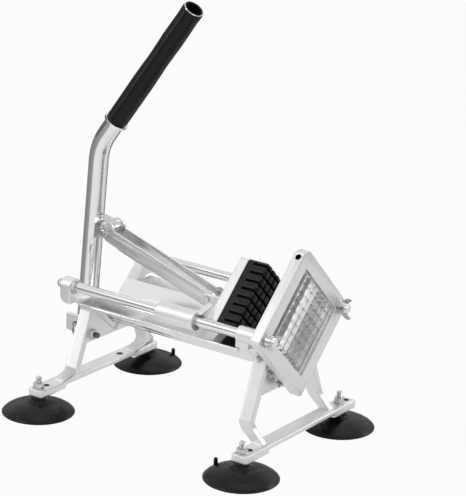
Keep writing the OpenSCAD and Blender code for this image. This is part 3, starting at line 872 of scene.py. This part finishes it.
def grip():
    steps = 60
    length, start = GRIP_LEN - (COLLAR_T + RING_T), COLLAR_AT + COLLAR_T
    outside = [(TUBE_R + swell_at(k / steps), start + length * k / steps)
               for k in range(steps + 1)]
    outside[-1] = (TUBE_R + 0.1, start + length)
    return lathe([(GRIP_BORE, start)] + outside + [(GRIP_BORE, start + length)], steps=64,
                 closed=True)


GRIP_TOP = COLLAR_AT + GRIP_LEN
publish("lever_grip_sleeve", gather((grip(), AT_CORNER)), "lever_grip", crease=50)
publish("grip_collar_ring",
        gather((washer(TUBE_R + 2.6, GRIP_BORE, COLLAR_T), on_grip(COLLAR_AT))), "grip_collar")
publish("grip_top_ring",
        gather((washer(TUBE_R + 0.3, GRIP_BORE, RING_T), on_grip(GRIP_TOP - RING_T))),
        "grip_end_ring")
# The dark rubber cup in the tube's mouth is painted shade for the inside of the tube.
bore_shade_cup = lathe([(0, -30), (TUBE_BORE, -30), (TUBE_BORE, 0), (GRIP_BORE, 0), (GRIP_BORE, 0.3),
                  (TUBE_BORE + 0.2, 0.3), (TUBE_BORE - 0.6, -0.6), (TUBE_BORE - 0.8, -29),
                  (0, -29)], 48)
publish("lever_bore_shade_plug", gather((bore_shade_cup, on_grip(GRIP_TOP))), body="lever",
        slot="grip_rubber")

# %% [markdown]
# The link hangs on one bolt with a washer at each side and its nut on the near
# side. Its other end runs in the carriage's fork. The pin there is two short
# stubs, one in each cheek of the fork.

# %% Bolt of the link, and pins of the fork
LINK_TOP, LINK_LOW = (-111.0, 184.5), (25.3, 141.7)
LINK_SIDE = 11.3         # outer faces of the washers, from the middle
TOP_BOLT = shift(LINK_TOP[0], 0, LINK_TOP[1]) @ turn(-90, "X")
FORK_PLACES = [shift(LINK_LOW[0], 0, LINK_LOW[1]) @ turn(90 * side, "X") for side in (-1, 1)]


def on_bolt(distance):
    return TOP_BOLT @ shift(0, 0, distance)


publish("link_bolt_turned", gather(
    (rod(3, -LINK_SIDE, LINK_SIDE, 0.1), TOP_BOLT), (hexagon(10, 4), on_bolt(LINK_SIDE)),
    (thread(3, -LINK_SIDE - 8.2, -LINK_SIDE + 0.1, 1.25, 0.7), TOP_BOLT)), "link_bolt")
publish("link_bolt_lock_nut", gather((hexagon(10, 5, 3), on_bolt(-LINK_SIDE - 5))),
        "link_bolt_nut")
publish("link_washer_pair", copies(lambda: washer(6, 3, 1.2),
                                   [on_bolt(z) for z in (LINK_SIDE - 1.2, -LINK_SIDE)]),
        "link_washers")
publish("fork_pin_pair", copies(lambda: rod(3, 10.3, 14.8, 0.5), FORK_PLACES), "fork_pins")

# %% [markdown]
# The camera stands 2.2 m away with a long lens, a little above the cutter. It
# is rolled slightly about its line of sight.

# %% Camera
CAMERA_AT = (1.2537, -1.7140, 0.8844)
AZIMUTH = math.radians(35.178)
ELEVATION = math.radians(18.132)
ROLL = math.radians(2.154)
SENSOR = 36              # millimetres
FOCAL_PIXELS, IMAGE_WIDTH = 2171.67, 466


def add_camera():
    back = Vector((math.sin(AZIMUTH) * math.cos(ELEVATION),
                   -math.cos(AZIMUTH) * math.cos(ELEVATION), math.sin(ELEVATION)))
    right = UP.cross(back).normalized()
    up = back.cross(right)
    tilted_right = right * math.cos(ROLL) + up * math.sin(ROLL)
    tilted_up = up * math.cos(ROLL) - right * math.sin(ROLL)
    data = bpy.data.cameras.new("camera")
    data.sensor_fit = "HORIZONTAL"
    data.sensor_width = SENSOR
    data.lens = SENSOR * FOCAL_PIXELS / IMAGE_WIDTH
    data.clip_end = 50
    camera = bpy.data.objects.new("camera", data)
    bpy.context.collection.objects.link(camera)
    turned = Matrix((tilted_right, tilted_up, back)).transposed().to_4x4()
    camera.matrix_world = Matrix.Translation(CAMERA_AT) @ turned
    bpy.context.scene.camera = camera


add_camera()

# %% [markdown]
# Bright metal shows its surroundings more than its own colour, so the studio
# decides how it looks. For the camera everything behind the cutter is white.
# What metal and rubber mirror is a light tent instead: bright overhead and
# dark at the horizon, which draws the thin dark line along the top of a rod.
# Upright metal mirrors the floor. So for mirrored rays the floor is brightest
# in front of the cutter, darker beyond it and darkest to its left, with one
# more dark strip behind the lever.

# %% Studio
def seen_by(tree, kind):
    """1 for the rays of one kind, and 0 for all others."""
    return Wire(tree, tree.nodes.new("ShaderNodeLightPath").outputs["Is %s Ray" % kind])


def add_world():
    horizon, upward, overhead = 0.14, 0.82, 0.14
    diffuse = 0.42
    world = bpy.data.worlds.new("studio")
    world.use_nodes = True
    bpy.context.scene.world = world
    tree = world.node_tree
    background = tree.nodes["Background"]
    background.inputs["Color"].default_value = (1, 1, 1, 1)
    way = tree.nodes.new("ShaderNodeSeparateXYZ")
    tree.links.new(tree.nodes.new("ShaderNodeTexCoord").outputs["Generated"], way.inputs[0])
    height = Wire(tree, way.outputs[2])
    tent = horizon + height.rise(0.03, 3) * upward - height.rise(0.5, 3) * overhead
    glossy, camera = seen_by(tree, "Glossy"), seen_by(tree, "Camera")
    clear = (camera + seen_by(tree, "Transmission")).clip()
    strength = clear + (1 - clear) * (glossy * tent + (1 - glossy) * diffuse)
    tree.links.new(strength.socket, background.inputs["Strength"])


def mirrored_floor(x, y):
    """How bright the floor is for mirrored rays, at a place in metres.

    Each zone is 0 on one side of a line across the floor and fades in to 1
    on the other. The strip is a band along Y that starts behind the lever.
    """
    front = (x * -0.55 - y * 0.8).rise(0, 4)
    beyond = ((x + 0.13) * -0.74 + y * 0.67).rise(0.05, 7)
    left = (y * 0.272 - x * 0.962).rise(0.135, 8)
    strip = (1 - ((x + 0.1) * 14) ** 2).clip() * y.rise(0.12, 5)
    level = 0.86 + front * 0.14 - beyond * 0.3 - strip * 0.2
    return level * (1 - left * 0.66)


def add_floor():
    half_side = 6.0
    seen_directly, seen_mirrored = 0.94, 0.85      # share of glow in what such a ray sees
    bm = bmesh.new()
    bmesh.ops.create_grid(bm, x_segments=1, y_segments=1, size=half_side)
    data = bpy.data.meshes.new("floor")
    bm.to_mesh(data)
    bm.free()
    floor = bpy.data.objects.new("floor", data)
    bpy.context.collection.objects.link(floor)
    p = Paint("floor", Base_Color=grey(0.85), Roughness=0.9, Specular_IOR_Level=0.0)
    where = p.node("TexCoord", out=OBJECT_COORDS)
    x, y = (p.node("SeparateXYZ", out=axis, Vector=where) for axis in (0, 1))
    glossy = seen_by(p.tree, "Glossy")
    glow = p.node("Emission", Strength=glossy * mirrored_floor(x, y) + (1 - glossy))
    share = seen_by(p.tree, "Camera") * seen_directly + glossy * seen_mirrored
    shader = Wire(p.tree, p.shader.outputs[0])
    mixed = p.node("MixShader", _0=share, _1=shader, _2=glow)
    p.tree.links.new(mixed.socket, p.tree.nodes["Material Output"].inputs[0])
    data.materials.append(p.material)


def softbox(name, at, aim, size, watts):
    data = bpy.data.lights.new(name, "AREA")
    data.shape = "RECTANGLE"
    data.size, data.size_y = size
    data.energy = watts
    lamp = bpy.data.objects.new(name, data)
    bpy.context.collection.objects.link(lamp)
    lamp.location = at
    lamp.rotation_euler = (Vector(at) - Vector(aim)).to_track_quat("Z", "Y").to_euler()


add_world()
add_floor()
softbox("key", (-0.9, -1.5, 1.7), (0, 0, 0.15), (0.9, 0.9), 5)
softbox("right", (1.9, -0.3, 1.1), (0, 0, 0.15), (0.8, 1.2), 2.5)
softbox("left", (-1.9, -1.45, 0.42), (0, 0, 0.35), (0.7, 0.4), 5)
softbox("back", (1.0, 1.55, 1.25), (0, 0, 0.05), (0.5, 0.5), 4)
softbox("top", (0, 0.3, 2.2), (0, 0, 0.1), (1.4, 1.4), 4)
bpy.context.scene.view_settings.view_transform = "Standard"
